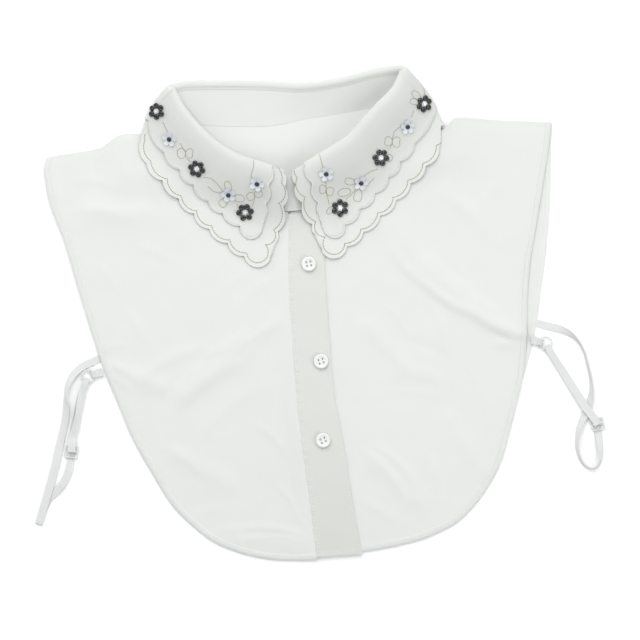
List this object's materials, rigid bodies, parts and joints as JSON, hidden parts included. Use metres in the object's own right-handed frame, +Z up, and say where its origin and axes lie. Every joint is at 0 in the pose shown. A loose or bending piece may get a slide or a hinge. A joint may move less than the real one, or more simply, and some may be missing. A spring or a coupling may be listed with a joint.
{
  "type": "detachable shirt collar",
  "caption": "White cotton detachable shirt collar laid flat, with a scalloped double collar, buttoned front, short back panel and elastic side straps with rings and sliders.",
  "frame": {"origin": "on the floor under the middle of the back panel's underside", "axes": "x to the wearer's left, y up the garment to the back of the neck, z up from the floor"},
  "size_m": [0.4111, 0.3467, 0.0247],
  "materials": {
    "cotton": "plain white cotton shirting",
    "elastic": "white ribbed elastic tape",
    "button": "translucent white buttons",
    "clear_plastic": "clear rings and sliders"
  },
  "bodies": {
    "root": {"back_panel": "cotton", "right_front": "cotton", "left_front": "cotton", "placket_band": "cotton", "collar_stand": "cotton", "collar_leaf": "cotton", "upper_tier": "cotton", "button_1": "button", "button_2": "button", "button_3": "button", "right_strap": "elastic", "left_strap": "elastic", "right_strap_loop": "elastic", "left_strap_loop": "elastic", "right_tab": "elastic", "left_tab": "elastic", "right_ring": "clear_plastic", "left_ring": "clear_plastic", "right_slider": "clear_plastic", "left_slider": "clear_plastic"}
  },
  "joints": []
}
